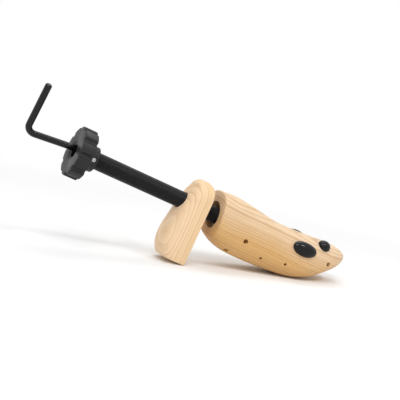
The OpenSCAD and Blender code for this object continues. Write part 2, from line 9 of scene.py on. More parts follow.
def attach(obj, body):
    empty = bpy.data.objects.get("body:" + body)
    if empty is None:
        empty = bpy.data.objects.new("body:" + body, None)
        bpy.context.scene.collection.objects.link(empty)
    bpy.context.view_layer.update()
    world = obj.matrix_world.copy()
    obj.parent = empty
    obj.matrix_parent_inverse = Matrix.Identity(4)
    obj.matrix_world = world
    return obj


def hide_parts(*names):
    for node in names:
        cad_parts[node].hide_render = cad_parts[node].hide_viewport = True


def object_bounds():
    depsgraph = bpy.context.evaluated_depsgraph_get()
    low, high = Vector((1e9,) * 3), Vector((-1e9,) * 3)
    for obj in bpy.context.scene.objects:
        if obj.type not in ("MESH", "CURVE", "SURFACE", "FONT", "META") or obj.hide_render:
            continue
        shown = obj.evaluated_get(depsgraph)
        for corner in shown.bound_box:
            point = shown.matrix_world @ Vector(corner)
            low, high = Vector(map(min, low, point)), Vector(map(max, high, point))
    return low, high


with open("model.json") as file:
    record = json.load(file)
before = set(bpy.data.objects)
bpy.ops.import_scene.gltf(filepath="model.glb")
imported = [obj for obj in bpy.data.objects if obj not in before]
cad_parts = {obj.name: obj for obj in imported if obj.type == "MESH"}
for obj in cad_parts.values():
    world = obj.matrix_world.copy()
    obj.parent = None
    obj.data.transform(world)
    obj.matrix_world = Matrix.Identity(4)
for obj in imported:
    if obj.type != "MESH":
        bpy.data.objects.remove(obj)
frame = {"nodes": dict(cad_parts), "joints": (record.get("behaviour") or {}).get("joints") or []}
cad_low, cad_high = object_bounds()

# All pieces are built in millimetres on the screw line: x runs along it towards the toe, y to the
# left side, z away from the sole. LINE carries them into the model's frame.
MM = 0.001
tube_spin = next(joint for joint in frame["joints"] if joint["name"] == "tube_spin")
ahead = Vector(tube_spin["axis"]).normalized()
left = Vector((0, 1, 0))
turned = Matrix((ahead, left, ahead.cross(left))).transposed()
LINE = Matrix.Translation(tube_spin["pos_m"]) @ turned.to_4x4()

# Last
LAST_L = 174
BACK_W = 50
WAIST_W = 53
BALL_W = 67
BACK_TOP = 27
INSTEP_TOP = 21.5
TOE_TOP = 25
TOE_TIP = 16
WAIST_DEPTH = 33
BALL_DEPTH = 29.5
BACK_LEAN = 6.5
LEAN_L = 70
SAW_CUT = 0.3
SAW_EDGE = 0.35
SAW_EASE = 0.6
BACK_EDGE = 2
TOE_CAP_W = 34
TOE_CAP_H = 20
CAP_POWER = 2.2
TOE_FLAT = 0.05
WAIST_X = 38
BALL_X = LAST_L - 58
TOP_POWER = 2 / 2.6
SOLE_POWER = 2 / 3

# Heel block
HEEL_FRONT_X = -15
HEEL_T = 26.5
HEEL_BULGE_T = 32.5
HEEL_TOP_T = 20
HEEL_FOOT_T = 24.5
HEEL_W = 42
HEEL_TOP = 29
HEEL_DEPTH = 62
HEEL_CROWN_R = 9
HEEL_EDGE = 1.5
HEEL_FOOT_EDGE = 1.2
HEEL_FLANK = 0.35
HEEL_POWER = 2 / 2.8
HEEL_BORE_R = 9.4
HEEL_BORE_L = 60
# Seat of the heel nut: (depth from the front face, radius) of its flange and of its barrel
HEEL_NUT = ((3, 17), (15, 12.5))

# Tube, knob and crank
TUBE_R = 9
TUBE_BORE_R = 7
TUBE_PITCH = 1.5
THREAD_DEPTH = 0.42
THREAD_END = 1.2
TUBE_CHAMFER = 0.7
TUBE_FRONT_X = 31
HUB_X = -146.5
HUB_L = 9.4
HUB_R = 13.3
HUB_EDGE = 0.8
HUB_FILLET = 1.2
GRUB_R = 2.02
KNOB_T = 15
KNOB_R = 26.5
KNOB_GROOVES = 10
KNOB_ROUNDING = 1.5
KNOB_SMOOTH = 4.6
KNOB_X = HUB_X - HUB_L
KNOB_BACK_X = KNOB_X - KNOB_T
TUBE_BACK_X = KNOB_BACK_X + 2
GROOVE_R = 3
GROOVE_OUT = 0.4
LIP_W = 0.9
LIP_DROP = 0.45
ROD_R = 3.4
ROD_SHOW = 51
ROD_EASE = (78, 5)
ROD_SAG = 0.15
ROD_SLOPE = 5.4
ROD_LIFT = 2.8
ARM_L = 57
ARM_TURN = 29
ARM_ROUND = 2.0
ELBOW_R = 9

# Spreader, as far as the halves are cut out for it
BRIDGE_X = 40
BRIDGE_L = 8
BRIDGE_W = 16
WEDGE_X = 54
WEDGE_L = 26
WEDGE_H = 10.3
WEDGE_TAIL_W = 26
RAMP_SLOPE = 6 / 26
RAMP_T = 3
RAMP_X = (52, 108)
CAGE_H = 13.5
CAGE_END_X = 117.6
RAIL_W = 10
POCKET_GAP = 0.3
RUNNING = 0.05
BACK_BORE_R = 15
REAR_PINS = (44, 9, 20.5)
FRONT_PIN = (114.6, 22.5)
PIN_R = 2.5
# Return springs: [length, height, half length, outer radius], and the room at their hooks
SPRINGS = ((20, 20.7, 7, 2.3), (129.6, 0, 12, 3))
HOOK_ROOM = 1.9
# Neck of the crank rod, on which the wedge turns: its length past the wedge, radius and chamfer
NECK_L = 2.6
NECK_R = 2.5
NECK_CHAMFER = 0.4

# Holes in each half: [length, height, radius, depth]
SPARE_R = 2.75
SMALL_R = 1.6
HOLES_RIGHT = ((37, -12, SPARE_R, 8), (23, -29.5, SPARE_R, 6), (63, -22, SMALL_R, 8),
               (92, -17, SMALL_R, 8), (LAST_L - 31, 2.5, SPARE_R, 8))
HOLES_LEFT = ((37, -20, SPARE_R, 8), (57, -8.5, SMALL_R, 8), (90, -25, SMALL_R, 8),
              (LAST_L - 64, -20, SPARE_R, 8), (LAST_L - 24, 9, SPARE_R, 8))
# Plugs: [length, height, dome length, dome width]
PLUG_LONG = (LAST_L - 68, 7, 30, 17)
PLUG_ROUND = (LAST_L - 42, 19, 15, 15)
PLUG_UPPER = (LAST_L - 52, 17.5, 25, 13.5)
PLUG_LOWER = (LAST_L - 44, -1, 24, 13.5)
PEG_R = 2.5
PEG_L = 8
PEG_TAPER = 0.4
PEG_ROOM = 0.5
DOME_H = 6
DOME_LIFT = 0.3
DOME_REACH = 75


# Curves of the last
def through(points):
    """A smooth curve through (x, value) points, with slopes from the neighbours."""
    xs, ys = np.array(points, float).T
    slopes = np.empty(len(xs))
    slopes[0] = (ys[1] - ys[0]) / (xs[1] - xs[0])
    slopes[-1] = (ys[-1] - ys[-2]) / (xs[-1] - xs[-2])
    slopes[1:-1] = (ys[2:] - ys[:-2]) / (xs[2:] - xs[:-2])

    def value(x):
        x = np.asarray(x, float)
        i = np.clip(np.searchsorted(xs, x, side="left") - 1, 0, len(xs) - 2)
        h = xs[i + 1] - xs[i]
        t = (x - xs[i]) / h
        return ((2 * t**3 - 3 * t**2 + 1) * ys[i] + (t**3 - 2 * t**2 + t) * h * slopes[i]
                + (3 * t**2 - 2 * t**3) * ys[i + 1] + (t**3 - t**2) * h * slopes[i + 1])
    return value


top_line = through([(0, BACK_TOP), (20, BACK_TOP + 1), (44, BACK_TOP - 1.6),
                    (72, INSTEP_TOP + 0.3), (94, INSTEP_TOP + 0.2),
                    (LAST_L - 50, (INSTEP_TOP + TOE_TOP) / 2), (LAST_L - 26, TOE_TOP),
                    (LAST_L, TOE_TOP - 1)])
sole_line = through([(0, -BACK_W * 0.46), (10, -WAIST_DEPTH + 4.5), (24, -WAIST_DEPTH + 0.8),
                     (WAIST_X, -WAIST_DEPTH), (62, -WAIST_DEPTH), (BALL_X - 24, -BALL_DEPTH - 2.2),
                     (BALL_X - 6, -BALL_DEPTH), (LAST_L - 42, -BALL_DEPTH + 8.5),
                     (LAST_L - 22, -6), (LAST_L, 10)])
side_line = through([(0, BACK_W / 2), (14, BACK_W / 2 + 0.4), (WAIST_X, WAIST_W / 2 - 0.8),
                     (62, WAIST_W / 2 + 1), (BALL_X - 24, BALL_W / 2 - 2.6), (BALL_X, BALL_W / 2),
                     (LAST_L - 34, BALL_W / 2 - 1.8), (LAST_L, BALL_W / 2 - 8)])
wide_line = through([(0, 2), (WAIST_X, 0), (BALL_X - 20, -5), (BALL_X, -4), (LAST_L - 20, 7),
                     (LAST_L, TOE_TIP)])


def cap(x, length):
    share = np.clip((x - LAST_L + length) / length, 0, 1)
    return (1 - share**CAP_POWER) ** (1 / CAP_POWER)


def edge(x):
    return BACK_EDGE - np.sqrt(np.maximum(0, BACK_EDGE**2 - np.maximum(0, BACK_EDGE - x) ** 2))


def bow(v, power):
    return np.sign(v) * np.abs(v) ** power


def section(x):
    """Half width, top, sole and widest height of the last at x."""
    low, high = cap(x, TOE_CAP_H), cap(x, TOE_CAP_W)
    half = side_line(x) * high - edge(x)
    top = TOE_TIP + (top_line(x) - TOE_TIP) * low - edge(x)
    sole = TOE_TIP + (sole_line(x) - TOE_TIP) * low + edge(x)
    return half, top, sole, TOE_TIP + (wide_line(x) - TOE_TIP) * low


def skin(x, a):
    """A point on the left side of the last; a is -90 degrees on the sole and 90 on the top."""
    half, top, sole, wide = section(x)
    up = a > 0
    power = np.where(up, TOP_POWER, SOLE_POWER)
    c, s = np.cos(np.radians(a)), np.sin(np.radians(a))
    z = wide + bow(s, power) * np.where(up, top - wide, wide - sole)
    lean = math.tan(math.radians(BACK_LEAN)) * np.maximum(0, 1 - x / LEAN_L)
    return np.stack([x - lean * z, np.maximum(SAW_CUT / 2, half * bow(c, power)), z], -1)


def skin_angle(x, z):
    half, top, sole, wide = section(np.float64(x))
    up = z > wide
    height = top - wide if up else wide - sole
    power = TOP_POWER if up else SOLE_POWER
    rise = min(1, (abs(z - wide) / height) ** (1 / power))
    return (1 if up else -1) * math.degrees(math.asin(rise))


def unit(v):
    return v / np.linalg.norm(v)


def skin_frame(x, z):
    """Angle, point, direction up round the section, and outward direction on the left skin."""
    a = skin_angle(x, z)
    x = np.float64(x)
    step = 0.5
    up = unit(skin(x, a + step) - skin(x, a - step))
    onward = skin(x + step, a) - skin(x - step, a)
    return a, skin(x, a), up, unit(np.cross(up, onward))


# Mesh tools
def turns(count):
    return np.arange(count) * 2 * math.pi / count


def cosine(degrees):
    return math.cos(math.radians(degrees))


def sine(degrees):
    return math.sin(math.radians(degrees))


def loft(rings, caps=True):
    """Points and faces of a skin round rings that all have the same number of points."""
    rings = np.asarray(rings, float)
    m, n = rings.shape[:2]
    i, j = np.arange(n), (np.arange(n) + 1) % n
    faces = []
    for r in range(m - 1):
        a = r * n
        faces += np.stack([a + i, a + j, a + n + j, a + n + i], 1).tolist()
    if caps:
        faces += [list(range(n - 1, -1, -1)), list(range((m - 1) * n, m * n))]
    return rings.reshape(-1, 3), faces


def loop(rings):
    """Points and faces of a skin whose last ring joins its first."""
    points, faces = loft(rings, caps=False)
    n = len(rings[0])
    last = len(points) - n
    faces += [[last + i, last + (i + 1) % n, (i + 1) % n, i] for i in range(n)]
    return points, faces


def round_ring(x, radius, t):
    """A ring round the screw line at x, with a radius for each of the angles t."""
    xs = np.broadcast_to(x, t.shape)
    return np.stack([xs, radius * np.cos(t), radius * np.sin(t)], -1)


def new_object(name, points, faces, mirrored=False):
    """A mesh object in the model's frame, from points in millimetres on the screw line."""
    points = np.asarray(points, float) * MM
    if mirrored:
        points = points * (1, -1, 1)
        faces = [f[::-1] for f in faces]
    points = points @ np.array(LINE.to_3x3()).T + np.array(LINE.translation)
    mesh = bpy.data.meshes.new(name)
    mesh.from_pydata(points.tolist(), [], faces)
    mesh.validate()
    made = bpy.data.objects.new(name, mesh)
    bpy.context.scene.collection.objects.link(made)
    return made


def lathe(start, end, profile, segments=64):
    """Points and faces of a turned solid: profile holds (distance from start, radius) pairs."""
    start, end = np.array(start, float), np.array(end, float)
    axis = unit(end - start)
    side = unit(np.cross(axis, (0, 0, 1) if abs(axis[2]) < 0.9 else (1, 0, 0)))
    other = np.cross(axis, side)
    t = turns(segments)
    around = np.cos(t)[:, None] * side + np.sin(t)[:, None] * other
    return loft([start + axis * d + around * r for d, r in profile])


def rod(start, end, r, segments=64):
    length = np.linalg.norm(np.array(end, float) - np.array(start, float))
    return lathe(start, end, [(0, r), (length, r)], segments)


def line_rod(x0, x1, r, segments=64):
    return rod((x0, 0, 0), (x1, 0, 0), r, segments)


def cross_rod(x, z, y0, y1, r, segments=32):
    return rod((x, y0, z), (x, y1, z), r, segments)


def prism(outline, z0, z1):
    return loft([[(x, y, z) for x, y in outline] for z in (z0, z1)])


def block(x0, x1, y0, y1, z0, z1):
    return prism([(x0, y0), (x1, y0), (x1, y1), (x0, y1)], z0, z1)


def carve(target, cutters, mirrored=False):
    """Takes each cutter, given as points and faces, out of the target."""
    for number, (points, faces) in enumerate(cutters):
        tool = new_object(f"cutter_{number}", points, faces, mirrored)
        cut = target.modifiers.new("cut", "BOOLEAN")
        cut.operation = "DIFFERENCE"
        cut.solver = "EXACT"
        cut.object = tool
        depsgraph = bpy.context.evaluated_depsgraph_get()
        carved = bpy.data.meshes.new_from_object(target.evaluated_get(depsgraph))
        target.modifiers.remove(cut)
        target.data = carved
        bpy.data.objects.remove(tool)


def dress(made, body, material, node, sharp=35):
    """Smooths a piece up to its sharp edges, gives it its finish and its body, and hides the CAD node
    that it stands in for.
    """
    made.data.materials.clear()
    made.data.materials.append(material)
    made.data.shade_smooth()
    made.data.set_sharp_from_angle(angle=math.radians(sharp))
    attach(made, body)
    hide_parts(node)


# Shader tools
class Nodes:
    """Short calls for the nodes of one node tree."""

    def __init__(self, tree):
        self.tree = tree
        self.tree.nodes.clear()

    def link(self, source, socket):
        if hasattr(source, "is_output"):
            self.tree.links.new(source, socket)
        else:
            socket.default_value = source

    def node(self, kind, **settings):
        made = self.tree.nodes.new(kind)
        for key, value in settings.items():
            setattr(made, key, value)
        return made

    def math(self, operation, a, b=0.0, c=0.0, clamp=False):
        made = self.node("ShaderNodeMath", operation=operation, use_clamp=clamp)
        for socket, source in zip(made.inputs, (a, b, c)):
            self.link(source, socket)
        return made.outputs[0]

    def seen(self):
        """1 for what the camera sees, also in a mirror or through glass, and 0 for other light."""
        path = self.node("ShaderNodeLightPath").outputs
        straight = self.math("MAXIMUM", path["Is Camera Ray"], path["Is Glossy Ray"])
        return self.math("MAXIMUM", straight, path["Is Transmission Ray"])


class Shader(Nodes):
    """A node material with a Principled shader."""

    def __init__(self, name, **sockets):
        self.material = bpy.data.materials.new(name)
        self.material.use_nodes = True
        super().__init__(self.material.node_tree)
        self.out = self.node("ShaderNodeOutputMaterial")
        self.shader = self.node("ShaderNodeBsdfPrincipled")
        self.link(self.shader.outputs[0], self.out.inputs[0])
        for key, value in sockets.items():
            self.shader.inputs[key.replace("_", " ")].default_value = value

    def millimetres(self):
        """Place on the piece in millimetres on the screw line, as it is at rest."""
        onto_line = self.node("ShaderNodeMapping", vector_type="TEXTURE")
        self.link(self.node("ShaderNodeTexCoord").outputs["Object"], onto_line.inputs["Vector"])
        onto_line.inputs["Location"].default_value = LINE.translation
        onto_line.inputs["Rotation"].default_value = LINE.to_euler()
        onto_line.inputs["Scale"].default_value = (MM, MM, MM)
        return onto_line.outputs[0]

    def vector(self, x, y=0.0, z=0.0):
        made = self.node("ShaderNodeCombineXYZ")
        for socket, source in zip(made.inputs, (x, y, z)):
            self.link(source, socket)
        return made.outputs[0]

    def stretch(self, place, x, y, z):
        made = self.node("ShaderNodeVectorMath", operation="MULTIPLY")
        self.link(place, made.inputs[0])
        made.inputs[1].default_value = (x, y, z)
        return made.outputs[0]

    def noise(self, place, scale=1.0, detail=2.0, rough=0.5):
        made = self.node("ShaderNodeTexNoise")
        self.link(place, made.inputs["Vector"])
        made.inputs["Scale"].default_value = scale
        made.inputs["Detail"].default_value = detail
        made.inputs["Roughness"].default_value = rough
        return made.outputs["Fac"]

    def streaks(self, place, lengthways, across, detail, rough=0.5):
        """Noise drawn out along the first axis, in waves per millimetre each way."""
        return self.noise(self.stretch(place, lengthways, across, across), 1, detail, rough)

    def swing(self, value, reach):
        """Turns a value from 0 to 1 into one that swings evenly about 0."""
        return self.math("MULTIPLY", self.math("SUBTRACT", value, 0.5), reach)

    def ramp(self, value, stops):
        """A ramp through (value, colour) stops; a single number stands for a grey."""
        made = self.node("ShaderNodeValToRGB")
        elements = made.color_ramp.elements
        while len(elements) < len(stops):
            elements.new(0.5)
        for element, (at, colour) in zip(elements, stops):
            element.position = at
            element.color = (*colour, 1) if hasattr(colour, "__len__") else (*[colour] * 3, 1)
        self.link(value, made.inputs[0])
        return made.outputs[0]

    def mix(self, share, a, b, blend="MIX"):
        made = self.node("ShaderNodeMix", data_type="RGBA", blend_type=blend)
        self.link(share, made.inputs["Factor"])
        for name, source in (("A", a), ("B", b)):
            socket = next(s for s in made.inputs if s.name == name and s.type == "RGBA")
            self.link(source if hasattr(source, "is_output") else (*source, 1), socket)
        return next(s for s in made.outputs if s.type == "RGBA")

    def bump(self, height, distance, strength=1.0, below=None):
        made = self.node("ShaderNodeBump")
        made.inputs["Strength"].default_value = strength
        made.inputs["Distance"].default_value = distance * MM
        self.link(height, made.inputs["Height"])
        if below is not None:
            self.link(below, made.inputs["Normal"])
        return made.outputs[0]

    def to(self, **sources):
        for key, source in sources.items():
            self.link(source, self.shader.inputs[key.replace("_", " ")])
        return self.material


def shade(colour, share):
    return tuple(c * share for c in colour)


# Wood. Across a year the wood darkens slowly and ends in a sharp dark line of late wood.
LATE_WOOD = [(0.0, 0.0), (0.35, 0.05), (0.70, 0.42), (0.88, 1.0), (0.95, 0.5), (1.0, 0.0)]
LINE_DEPTH = 0.85
SAPWOOD_FADE = 0.3
FLECK_DEPTH = 0.35


def year_lines(s, place, radius, spacing):
    """The dark line of each year: rings that wander, uneven in width and strength."""
    wander = s.swing(s.streaks(place, 0.007, 0.022, 1), 11)
    waver = s.swing(s.streaks(place, 0.028, 0.14, 2), 1.5)
    radius = s.math("ADD", radius, s.math("ADD", wander, waver))
    yearly = s.vector(s.math("MULTIPLY", radius, 0.21))
    uneven = s.math("MULTIPLY", s.noise(yearly, 1, 1), 1.7)
    year = s.math("FRACT", s.math("ADD", s.math("DIVIDE", radius, spacing), uneven))
    strength = s.ramp(s.noise(yearly, 2.3, 0), [(0.3, 0.4), (0.7, 1.0)])
    return s.math("MULTIPLY", s.ramp(year, LATE_WOOD), strength)


def resin_flecks(s, place):
    cells = s.node("ShaderNodeTexVoronoi", feature="F1")
    s.link(s.stretch(place, 0.07, 0.8, 0.8), cells.inputs["Vector"])
    cells.inputs["Scale"].default_value = 1.0
    return s.math("MULTIPLY", s.ramp(cells.outputs["Distance"], [(0.05, 1.0), (0.11, 0.0)]), FLECK_DEPTH)


def wood(name, grain, pith, spacing, heart, sap, dark, sap_from, seed=0.0):
    """Pine: growth rings round a far pith, stretched fibres and a few resin flecks.

    grain is the axis that the fibres follow, pith the pith's place on the two other axes, spacing
    the width of a ring and sap_from the radii over which the heartwood turns into sapwood, all in
    millimetres.
    """
    s = Shader(name, IOR=1.45, Specular_IOR_Level=0.3)
    parts = s.node("ShaderNodeSeparateXYZ")
    s.link(s.millimetres(), parts.inputs[0])
    u, v, w = (parts.outputs[k] for k in {"x": (0, 1, 2), "z": (2, 0, 1)}[grain])
    place = s.vector(s.math("ADD", u, seed), v, w)
    sideways = s.math("POWER", s.math("SUBTRACT", v, pith[0]), 2)
    upwards = s.math("POWER", s.math("SUBTRACT", w, pith[1]), 2)
    radius = s.math("SQRT", s.math("ADD", sideways, upwards))
    # On the last this share grows from the sole up to the top, so its pale top and darker sole are
    # partly the wood's own colour and partly painted light on the top and painted shade low down
    sapwood = s.math("DIVIDE", s.math("SUBTRACT", radius, sap_from[0]), sap_from[1] - sap_from[0],
                     clamp=True)
    line = year_lines(s, place, radius, spacing)
    fibre = s.streaks(place, 0.035, 1.1, 4, 0.65)
    fine = s.streaks(place, 0.09, 4.0, 3, 0.6)
    blotch = s.swing(s.streaks(place, 0.012, 0.035, 2), 0.9)
    ground = s.mix(s.math("ADD", sapwood, blotch, clamp=True), heart, sap)
    depth = s.math("SUBTRACT", LINE_DEPTH, s.math("MULTIPLY", sapwood, SAPWOOD_FADE))
    colour = s.mix(s.math("MULTIPLY", line, depth), ground, dark)
    colour = s.mix(1.0, colour, s.ramp(fibre, [(0.25, 0.88), (0.5, 1.0), (0.75, 1.04)]), "MULTIPLY")
    colour = s.mix(1.0, colour, s.ramp(fine, [(0.3, 0.94), (0.6, 1.01)]), "MULTIPLY")
    colour = s.mix(resin_flecks(s, place), colour, shade(dark, 0.55))
    smoother = s.math("ADD", s.math("MULTIPLY", line, -0.25), fibre)
    relief = s.bump(s.math("ADD", s.math("MULTIPLY", line, 0.6), fibre), 0.09, 0.6)
    return s.to(Base_Color=colour, Roughness=s.ramp(smoother, [(0.2, 0.42), (0.8, 0.6)]),
                Normal=s.bump(fine, 0.03, 0.5, relief))


def black_steel(name, base, rough, worn, gloss_level, grain=1.0, relief=0.02):
    """Blackened steel: uneven oxide, with the bare metal just showing on the worn spots."""
    s = Shader(name, Specular_IOR_Level=gloss_level)
    place = s.millimetres()
    oxide = s.noise(place, 0.35 * grain, 4, 0.6)
    speck = s.noise(place, 2.6 * grain, 3, 0.6)
    tone = s.ramp(oxide, [(0.3, shade(base, 0.7)), (0.7, shade(base, 1.4))])
    rub = s.math("MULTIPLY", s.ramp(speck, [(0.62, 0.0), (0.75, 1.0)]), 0.4)
    uneven = s.math("ADD", oxide, s.math("MULTIPLY", speck, 0.4))
    gloss = s.ramp(uneven, [(0.4, rough - 0.07), (1.0, rough + 0.12)])
    return s.to(Base_Color=s.mix(rub, tone, worn), Roughness=gloss, Normal=s.bump(speck, relief, 0.4))


def plastic(name, base, rough, grain, relief, gloss_level, lift=1.25):
    """Moulded plastic: the mould's fine grain, in millimetres, and slight handling marks."""
    s = Shader(name, Specular_IOR_Level=gloss_level)
    place = s.millimetres()
    mould = s.noise(place, 1 / grain, 3, 0.55)
    marks = s.noise(s.stretch(place, 0.12, 0.12, 0.12), 1, 4, 0.6)
    colour = s.ramp(marks, [(0.3, base), (0.72, shade(base, lift))])
    gloss = s.ramp(marks, [(0.3, max(0.06, rough - 0.05)), (0.7, rough + 0.08)])
    return s.to(Base_Color=colour, Roughness=gloss, Normal=s.bump(mould, relief, 0.6))


def bare_metal(name, base, rough, grain, relief, brushed=(1.0, 1.0, 1.0)):
    """Bare metal: a cast skin or, with a direction to brush along, fine machining marks."""
    s = Shader(name, Metallic=1.0)
    place = s.millimetres()
    texture = s.noise(s.stretch(place, *brushed), 1 / grain, 4, 0.6)
    stain = s.ramp(s.noise(place, 0.16, 3), [(0.35, 0.0), (0.7, 1.0)])
    gloss = s.ramp(texture, [(0.3, rough - 0.08), (0.7, rough + 0.12)])
    return s.to(Base_Color=s.mix(stain, shade(base, 0.78), base), Roughness=gloss,
                Normal=s.bump(texture, relief, 0.6))


# The pith of the last lies far below the sole, that of the heel block far in front of it
# So the last turns from dark heartwood at the sole to pale sapwood at the top: partly the wood's own
# colour, partly painted light on the top and painted shade towards the sole
last_wood_painted_top_light = wood("last_pine_painted_top_light", "x", pith=(10, -118), spacing=3.0, heart=(0.69, 0.42, 0.17),
                 sap=(0.83, 0.635, 0.44), dark=(0.46, 0.225, 0.07), sap_from=(108, 150))
block_wood = wood("block_pine", "z", pith=(80, 30), spacing=3.0, heart=(0.84, 0.59, 0.32),
                  sap=(0.87, 0.64, 0.42), dark=(0.57, 0.31, 0.12), sap_from=(92, 125), seed=40)
tube_finish = black_steel("black_thread", (0.0065, 0.0065, 0.007), 0.36, worn=(0.05, 0.05, 0.052),
                          gloss_level=0.18)
crank_finish = black_steel("black_rod", (0.0025, 0.0025, 0.0028), 0.14, worn=(0.02, 0.02, 0.022),
                           gloss_level=0.3, grain=0.7, relief=0.001)
knob_finish = plastic("knob_plastic_grain", (0.014, 0.014, 0.0155), 0.4, grain=0.5, relief=0.03,
                      gloss_level=0.26)
plug_finish = plastic("plug_plastic_gloss", (0.0025, 0.0022, 0.0024), 0.17, grain=1.6,
                      relief=0.002, gloss_level=0.27, lift=1.6)
bush_finish = plastic("bush_plastic", (0.78, 0.76, 0.70), 0.35, grain=0.8, relief=0.01,
                      gloss_level=0.5, lift=1.04)
steel_finish = bare_metal("bright_steel", (0.62, 0.62, 0.64), 0.26, grain=0.5, relief=0.006,
                          brushed=(0.15, 1.0, 1.0))
cast_finish = bare_metal("cast_alloy", (0.50, 0.50, 0.51), 0.42, grain=0.9, relief=0.04)
brass_finish = bare_metal("turned_brass", (0.80, 0.58, 0.26), 0.25, grain=0.5, relief=0.006,
                          brushed=(1.0, 0.2, 0.2))

# Finishes of the CAD nodes that show as they are; the others are bright steel
CAD_FINISH = {
    "spreader_cage": cast_finish, "spreader_wedge": cast_finish, "rod_nut": brass_finish,
    "collar_bush": bush_finish, "thrust_washer": bush_finish, "heel_nut": tube_finish,
}
for name, node in frame["nodes"].items():
    node.data.materials.clear()
    node.data.materials.append(CAD_FINISH.get(name, steel_finish))
for name in ("rear_return_spring", "front_return_spring"):
    frame["nodes"][name].modifiers.new("round_wire", "SUBSURF").render_levels = 2

# Last
BACK_RINGS = 8
BODY_RINGS = 96
TOE_RINGS = 40
SECTION_STEPS = 44


def along_last():
    """Where the rings of the last stand: close together at its two ends."""
    body_end = LAST_L - TOE_CAP_W
    back = [BACK_EDGE * (1 - cosine(90 * i / BACK_RINGS)) for i in range(BACK_RINGS + 1)]
    body = [BACK_EDGE + (body_end - BACK_EDGE) * i / BODY_RINGS for i in range(1, BODY_RINGS + 1)]
    toe = [body_end + (TOE_CAP_W - TOE_FLAT) * sine(90 * i / TOE_RINGS)
           for i in range(1, TOE_RINGS + 1)]
    return np.array(back + body + toe)


def round_section():
    """Angles that space the points of a section evenly, from the sole's middle to the top's."""
    share = np.arange(1, SECTION_STEPS) / SECTION_STEPS
    up = np.degrees(np.arctan((share / (1 - share)) ** (1 / TOP_POWER)))
    down = -np.degrees(np.arctan((share / (1 - share)) ** (1 / SOLE_POWER)))[::-1]
    return np.concatenate([[-90], down, [0], up, [90]])


def ramp_back(x):
    thick = (RAMP_T + RUNNING) * math.hypot(1, RAMP_SLOPE)
    return WEDGE_TAIL_W / 2 - RAMP_SLOPE * (x - WEDGE_X) + thick


def drilled(x, z, r, depth):
    a, point, up, out = skin_frame(x, z)
    return rod(point - out * depth, point + out * 6, r, 48)


def spreader_room():
    """What the bore, the cage, the ramp, the pins and the springs take out of a half."""
    cage_h = CAGE_H + POCKET_GAP
    ramp_h = WEDGE_H + POCKET_GAP
    ramp_x0, ramp_x1 = RAMP_X[0] - RUNNING, RAMP_X[1] + RUNNING
    pocket = [(ramp_x0, -3.4), (ramp_x1, -3.4), (ramp_x1, ramp_back(RAMP_X[1])),
              (ramp_x0, ramp_back(RAMP_X[0]))]
    cut = [line_rod(-20, BRIDGE_X + POCKET_GAP, BACK_BORE_R, 96),
           block(BRIDGE_X - 1, BRIDGE_X + BRIDGE_L + POCKET_GAP, -3, BRIDGE_W / 2 + POCKET_GAP,
                 -cage_h, cage_h),
           block(BRIDGE_X - 0.5, CAGE_END_X + POCKET_GAP, -3.2, RAIL_W / 2 + POCKET_GAP,
                 -cage_h - 0.01, cage_h + 0.01),
           prism(pocket, -ramp_h, ramp_h),
           cross_rod(FRONT_PIN[0], 0, -3, FRONT_PIN[1], PIN_R + RUNNING)]
    cut += [cross_rod(REAR_PINS[0], z, -3, REAR_PINS[2], PIN_R + RUNNING)
            for z in (-REAR_PINS[1], REAR_PINS[1])]
    cut += [cross_rod(x, z, -3, half + HOOK_ROOM, r + POCKET_GAP) for x, z, half, r in SPRINGS]
    return cut


def last_half(name, body, holes, plugs, right):
    xs = along_last()
    rings = skin(xs[:, None], round_section()[None, :])
    # The edges of the saw cut are eased, and the flat side of a half is the ring's closing edge
    near = np.clip(1 - (rings[..., 1] - SAW_CUT / 2) / SAW_EDGE, 0, 1) ** 2
    outward = np.sign(rings[..., 2] - section(xs)[3][:, None])
    rings[..., 2] -= near * SAW_EDGE * SAW_EASE * outward
    half = new_object(f"{name}_wood", *loft(rings), mirrored=right)
    cutters = spreader_room() + [drilled(*hole) for hole in holes]
    cutters += [drilled(place[0], place[1], PEG_R + RUNNING, PEG_L + PEG_ROOM) for place in plugs]
    carve(half, cutters, mirrored=right)
    dress(half, body, last_wood_painted_top_light, name, 40)


# Plugs. A dome follows the skin under it, from its middle out to its rounded rim.
def dome_rise():
    """(Share of the half size, share of the height) pairs, from the underside to the crest."""
    under = [(0.02, 0), (0.3, 0), (0.6, 0), (0.9, 0), (0.955, 0.01), (0.985, 0.035)]
    over = [(cosine(e) ** 0.9, sine(e) ** 0.85) for e in range(6, 90, 5)]
    return under + over + [(0.01, 1.0)]


def skin_below(xs, heights, point, up, middle):
    """Points of the skin at xs that lie at these heights up from the point, by halving."""
    low = np.full(len(xs), max(-89.0, middle - DOME_REACH))
    high = np.full(len(xs), min(90.0, middle + DOME_REACH))
    for _ in range(22):
        halfway = (low + high) / 2
        beyond = (skin(xs, halfway) - point) @ up > heights
        high = np.where(beyond, halfway, high)
        low = np.where(beyond, low, halfway)
    return skin(xs, (low + high) / 2)


def plug(name, place, body, right):
    x0, z0, length, width = place
    a, point, up, out = skin_frame(x0, z0)
    t = turns(72)
    rings = []
    for share, height in dome_rise():
        xs = x0 + share * length / 2 * np.cos(t)
        heights = -share * width / 2 * np.sin(t)
        rings.append(skin_below(xs, heights, point, up, a) + (DOME_LIFT + DOME_H * height) * out)
    points, faces = loft(rings)
    peg = [(0, PEG_R - PEG_TAPER), (PEG_TAPER, PEG_R), (PEG_L + DOME_LIFT + 1, PEG_R)]
    peg_points, peg_faces = lathe(point - out * PEG_L, point + out * (DOME_LIFT + 1), peg, 32)
    faces = faces + [[k + len(points) for k in f] for f in peg_faces]
    points = np.concatenate([points, peg_points])
    made = new_object(f"{name}_dome", points, faces, mirrored=right)
    dress(made, body, plug_finish, name)


